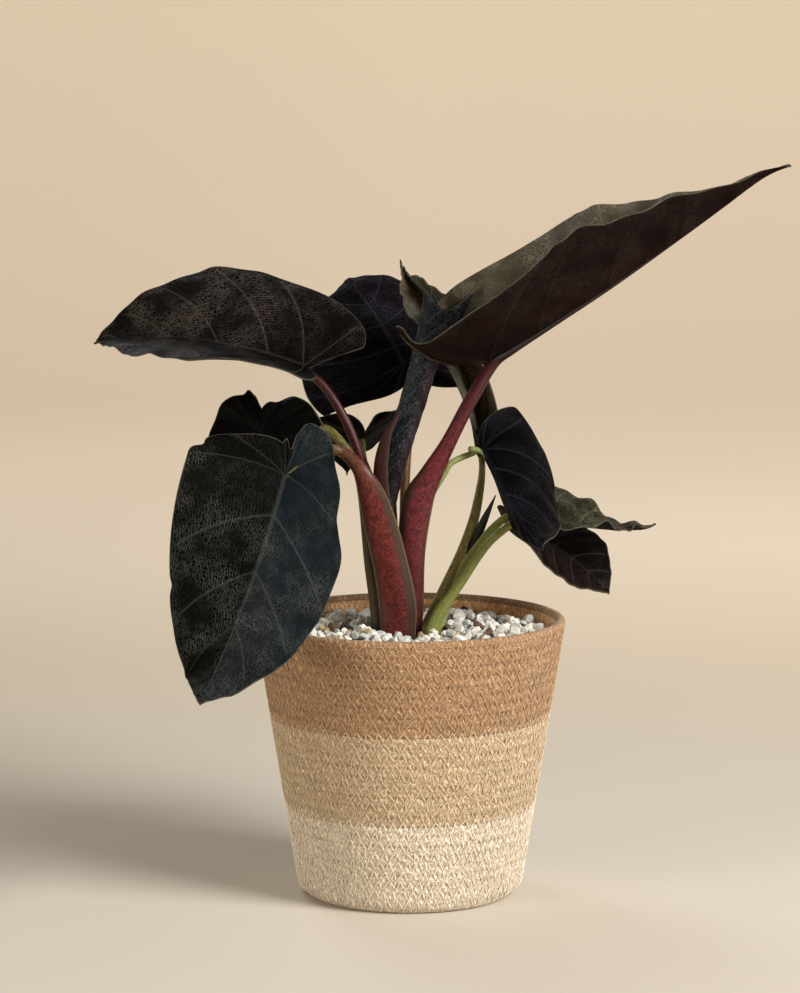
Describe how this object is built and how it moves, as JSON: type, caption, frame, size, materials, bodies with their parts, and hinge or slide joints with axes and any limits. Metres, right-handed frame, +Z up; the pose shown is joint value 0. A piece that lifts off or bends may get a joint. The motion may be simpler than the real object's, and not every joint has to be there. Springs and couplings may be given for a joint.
{
  "type": "potted antoro velvet alocasia",
  "caption": "Potted velvet alocasia with dark arrow-shaped leaves on mottled stems, pumice-topped soil and a coiled basket in three tones.",
  "frame": {"origin": "centre of the basket's foot, on the floor", "axes": "+Z up, -Y towards the viewer of the picture, +X to the picture's right, where the longest leaf points"},
  "size_m": [0.4466, 0.3096, 0.4757],
  "materials": {
    "cream_cord": "matt coiled and stitched cord, cream",
    "natural_cord": "matt coiled and stitched cord, natural straw",
    "tan_cord": "matt coiled and stitched cord, tan",
    "liner": "thin dark plastic pot",
    "soil": "damp bark and fibre mix",
    "pumice": "matt pale pumice chips",
    "leaf": "near-black velvety leaf with a soft sheen and pale net veins",
    "leaf_green": "dark olive-green embossed leaf",
    "young_leaf": "young leaf, dark blue-green and maroon"
  },
  "bodies": {
    "root": {"basket_cream_coils": "cream_cord", "basket_natural_coils": "natural_cord", "basket_tan_coils": "tan_cord", "liner": "liner", "soil": "soil", "pumice_topping": "pumice", "leaf_front_left": "leaf", "leaf_upper_right": "leaf", "leaf_behind_front_left": "leaf", "leaf_upper_left": "leaf", "leaf_upper_back": "leaf", "leaf_low_back": "leaf", "leaf_drooping_right": "leaf", "leaf_shoot_tall": "leaf_green", "leaf_shoot_lower": "leaf", "leaf_shoot_green": "leaf_green", "young_shoot": "young_leaf"}
  },
  "joints": []
}
